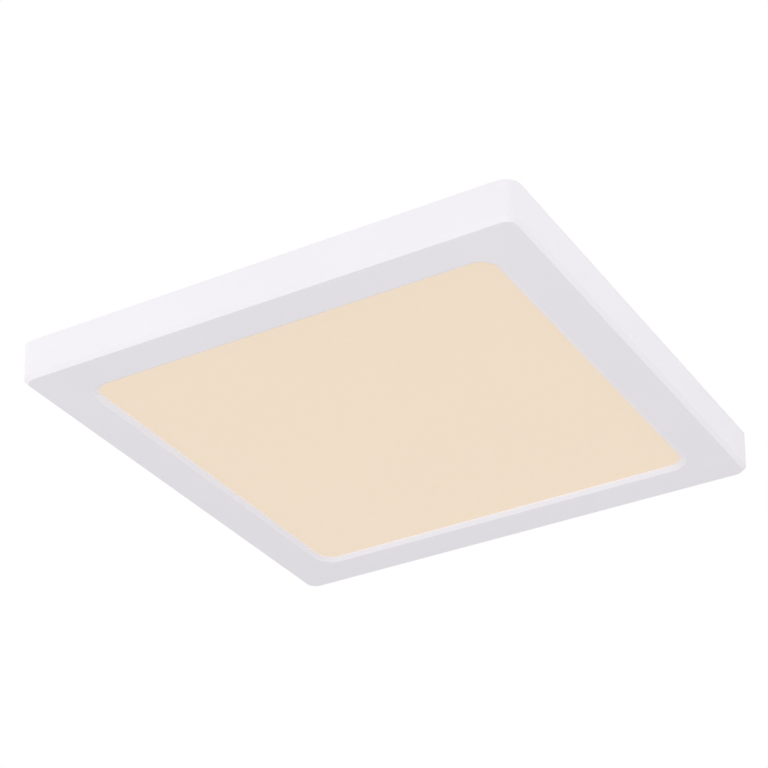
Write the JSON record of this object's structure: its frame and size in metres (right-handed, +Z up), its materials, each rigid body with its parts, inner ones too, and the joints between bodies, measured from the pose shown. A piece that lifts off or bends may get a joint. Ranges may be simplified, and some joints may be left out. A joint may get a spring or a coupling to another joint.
{
  "type": "flush mount ceiling light",
  "caption": "Square edge-lit flush mount ceiling light with a flat bezel, opal diffuser, slim driver and a spring-clip ceiling plate.",
  "frame": {"origin": "centre of the ceiling plate's upper face, where the light meets the ceiling", "axes": "+Z up into the ceiling, X along the ceiling plate's long side, the light hangs towards -Z"},
  "size_m": [0.3, 0.3, 0.023],
  "materials": {
    "frame_white": "satin white moulded ABS",
    "diffuser": "opal acrylic, lit warm white",
    "acrylic": "clear acrylic sheet",
    "reflector": "white PET film",
    "foam": "closed cell foam",
    "board_white": "white solder mask",
    "led_body": "phosphor in a white package",
    "flex": "polyimide film",
    "steel_zinc": "zinc plated sheet steel",
    "spring_steel": "stainless spring strip",
    "screw_steel": "bright zinc",
    "rivet_alloy": "plain",
    "case_white": "moulded polycarbonate",
    "board_green": "green solder mask",
    "ferrite": "ferrite",
    "winding": "yellow winding tape",
    "capacitor": "shrink sleeve",
    "film_cap": "dipped box",
    "black_plastic": "moulded epoxy",
    "terminal": "moulded polyamide",
    "button": "orange polyamide",
    "brass": "tinned brass",
    "lead_brown": "brown insulation",
    "lead_blue": "blue insulation",
    "lead_green": "green insulation with a yellow stripe",
    "lead_red": "red insulation",
    "lead_black": "black insulation",
    "rubber": "moulded rubber"
  },
  "bodies": {
    "ceiling_plate": {"mounting_plate": "steel_zinc", "cable_grommet": "rubber", "spring_clip_right": "spring_steel", "spring_clip_left": "spring_steel", "clip_rivets": "rivet_alloy"},
    "luminaire": {"frame": "frame_white", "diffuser": "diffuser", "light_guide": "acrylic", "reflector_sheet": "reflector", "foam_pad": "foam", "board_jumpers": "flex", "board_connector": "case_white", "rear_cover": "steel_zinc", "rear_cover_screws": "screw_steel", "driver_case": "case_white", "driver_lid": "case_white", "driver_rivets": "rivet_alloy", "driver_board": "board_green", "transformer_core": "ferrite", "transformer_bobbin": "winding", "electrolytic_capacitors": "capacitor", "film_capacitor": "film_cap", "bridge_rectifier": "black_plastic", "choke": "ferrite", "fuse": "brass", "driver_chip": "black_plastic", "driver_terminals": "terminal", "terminal_body": "terminal", "terminal_contacts": "brass", "terminal_screw": "screw_steel", "earth_tag": "brass", "earth_screw": "screw_steel", "lead_line": "lead_brown", "lead_neutral": "lead_blue", "lead_earth": "lead_green", "lead_led_positive": "lead_red", "lead_led_negative": "lead_black", "lead_grommet": "rubber", "lead_clip": "case_white", "led_board_front": "board_white", "leds_front": "led_body", "led_board_right": "board_white", "leds_right": "led_body", "led_board_rear": "board_white", "leds_rear": "led_body", "led_board_left": "board_white", "leds_left": "led_body", "clamp_spring_line": "spring_steel", "clamp_spring_neutral": "spring_steel", "clamp_spring_earth": "spring_steel"},
    "button_line": {"button_line": "button"},
    "button_neutral": {"button_neutral": "button"},
    "button_earth": {"button_earth": "button"}
  },
  "joints": [
    {"name": "luminaire_drop", "type": "slide", "parent": "ceiling_plate", "child": "luminaire", "axis": [0, 0, -1], "range_m": [0, 0.04], "deforming": ["spring_clip_right", "spring_clip_left"]},
    {"name": "press_line", "type": "slide", "parent": "luminaire", "child": "button_line", "axis": [0, 0, -1], "range_m": [0, 0.0015], "stiffness_N_per_m": 2500, "springref_m": -0.0004, "deforming": ["clamp_spring_line"]},
    {"name": "press_neutral", "type": "slide", "parent": "luminaire", "child": "button_neutral", "axis": [0, 0, -1], "range_m": [0, 0.0015], "stiffness_N_per_m": 2500, "springref_m": -0.0004, "deforming": ["clamp_spring_neutral"]},
    {"name": "press_earth", "type": "slide", "parent": "luminaire", "child": "button_earth", "axis": [0, 0, -1], "range_m": [0, 0.0015], "stiffness_N_per_m": 2500, "springref_m": -0.0004, "deforming": ["clamp_spring_earth"]}
  ]
}
